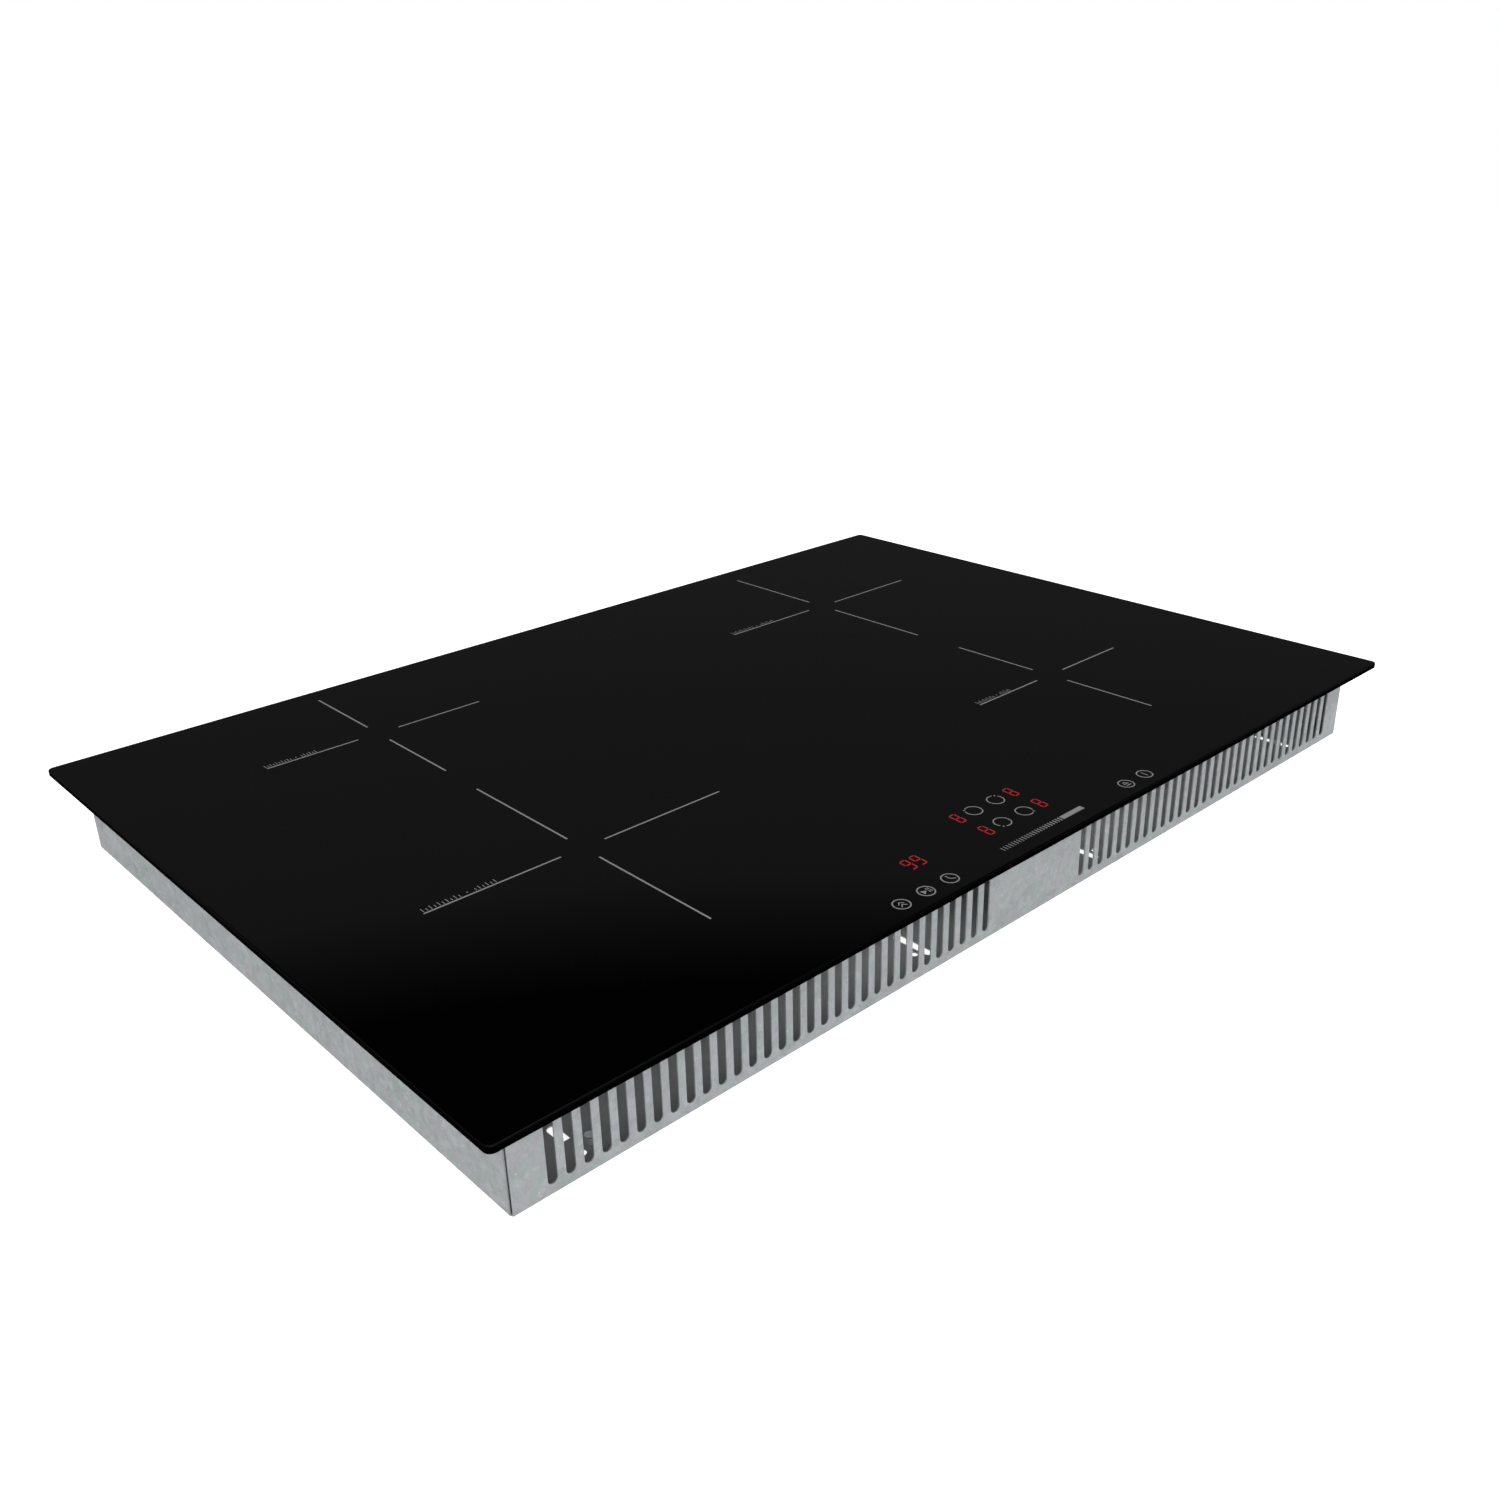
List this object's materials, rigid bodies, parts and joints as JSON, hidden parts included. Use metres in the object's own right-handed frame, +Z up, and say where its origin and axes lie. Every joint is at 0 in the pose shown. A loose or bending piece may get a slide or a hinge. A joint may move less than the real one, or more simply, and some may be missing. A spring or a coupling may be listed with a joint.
{
  "type": "induction cooktop",
  "caption": "Built-in induction cooktop: black glass plate on a folded sheet tray with front air slots, sprung coils, fans and a rear mains inlet.",
  "frame": {"origin": "centre of the footprint, on the underside of the bottom tray", "axes": "+X to the user's right, +Y towards the rear, away from the controls, +Z up through the glass"},
  "size_m": [0.77, 0.52, 0.057],
  "materials": {
    "black_glass": "polished",
    "foam": "matte",
    "silicone": "satin",
    "galvanised_steel": "spangled",
    "zinc_steel": "satin",
    "spring_steel": "satin",
    "aluminium_sheet": "mill",
    "aluminium_extrusion": "extruded",
    "circuit_board": "satin",
    "light_plastic": "matte",
    "black_plastic": "textured",
    "fan_plastic": "satin",
    "former_plastic": "glass filled",
    "terminal_plastic": "matte",
    "gland_plastic": "satin",
    "black_resin": "satin",
    "display": "gloss",
    "foil": "satin",
    "ribbon": "satin",
    "lead_insulation": "satin",
    "copper_litz": "varnished",
    "ferrite": "matte",
    "mica": "fibrous",
    "sensor_silicone": "matte",
    "choke": "varnished",
    "capacitor": "gloss"
  },
  "bodies": {
    "housing": {"adhesive_bead": "silicone", "assembly_screws": "zinc_steel", "board_capacitors_left": "capacitor", "board_capacitors_right": "capacitor", "board_holder_left": "black_plastic", "board_holder_right": "black_plastic", "bottom_tray": "galvanised_steel", "cable_gland": "gland_plastic", "coil_springs_front_left": "spring_steel", "coil_springs_front_right": "spring_steel", "coil_springs_rear_left": "spring_steel", "coil_springs_rear_right": "spring_steel", "coil_studs": "zinc_steel", "control_board": "circuit_board", "control_board_holder": "light_plastic", "display_modules": "display", "fan_frame_left": "fan_plastic", "fan_frame_right": "fan_plastic", "filter_board": "circuit_board", "filter_capacitors": "capacitor", "filter_choke": "choke", "glass_top": "black_glass", "heatsink_left": "aluminium_extrusion", "heatsink_right": "aluminium_extrusion", "plate_standoffs": "zinc_steel", "power_board_left": "circuit_board", "power_board_right": "circuit_board", "power_transistors_left": "black_resin", "power_transistors_right": "black_resin", "ribbon_cables": "ribbon", "sealing_gasket": "foam", "shield_plate_left": "aluminium_sheet", "shield_plate_right": "aluminium_sheet", "supply_leads": "lead_insulation", "terminal_block": "terminal_plastic", "terminal_box": "black_plastic", "touch_foil": "foil"},
    "coil_rear_left": {"coil_former_rear_left": "former_plastic", "coil_winding_rear_left": "copper_litz", "coil_ferrites_rear_left": "ferrite", "coil_insulation_rear_left": "mica", "coil_sensor_rear_left": "sensor_silicone"},
    "coil_front_left": {"coil_former_front_left": "former_plastic", "coil_winding_front_left": "copper_litz", "coil_ferrites_front_left": "ferrite", "coil_insulation_front_left": "mica", "coil_sensor_front_left": "sensor_silicone"},
    "coil_rear_right": {"coil_former_rear_right": "former_plastic", "coil_winding_rear_right": "copper_litz", "coil_ferrites_rear_right": "ferrite", "coil_insulation_rear_right": "mica", "coil_sensor_rear_right": "sensor_silicone"},
    "coil_front_right": {"coil_former_front_right": "former_plastic", "coil_winding_front_right": "copper_litz", "coil_ferrites_front_right": "ferrite", "coil_insulation_front_right": "mica", "coil_sensor_front_right": "sensor_silicone"},
    "rotor_left": {"fan_rotor_left": "fan_plastic"},
    "rotor_right": {"fan_rotor_right": "fan_plastic"},
    "cover": {"terminal_cover": "black_plastic"}
  },
  "joints": [
    {"name": "coil_float_rear_left", "type": "slide", "parent": "housing", "child": "coil_rear_left", "axis": [0, 0, 1], "range_m": [-0.004, 0], "stiffness_N_per_m": 2500, "springref_m": 0.006, "deforming": ["coil_springs_rear_left"]},
    {"name": "coil_float_front_left", "type": "slide", "parent": "housing", "child": "coil_front_left", "axis": [0, 0, 1], "range_m": [-0.004, 0], "stiffness_N_per_m": 2500, "springref_m": 0.006, "deforming": ["coil_springs_front_left"]},
    {"name": "coil_float_rear_right", "type": "slide", "parent": "housing", "child": "coil_rear_right", "axis": [0, 0, 1], "range_m": [-0.004, 0], "stiffness_N_per_m": 2500, "springref_m": 0.006, "deforming": ["coil_springs_rear_right"]},
    {"name": "coil_float_front_right", "type": "slide", "parent": "housing", "child": "coil_front_right", "axis": [0, 0, 1], "range_m": [-0.004, 0], "stiffness_N_per_m": 2500, "springref_m": 0.006, "deforming": ["coil_springs_front_right"]},
    {"name": "fan_spin_left", "type": "hinge", "parent": "housing", "child": "rotor_left", "pos_m": [-0.205, 0.138, 0.012], "axis": [0, 0, 1], "continuous": true},
    {"name": "fan_spin_right", "type": "hinge", "parent": "housing", "child": "rotor_right", "pos_m": [0.205, 0.138, 0.012], "axis": [0, 0, 1], "continuous": true},
    {"name": "cover_hinge", "type": "hinge", "parent": "housing", "child": "cover", "pos_m": [0.211, 0.2471, 0.005], "axis": [-1, 0, 0], "range_deg": [0, 90]}
  ]
}
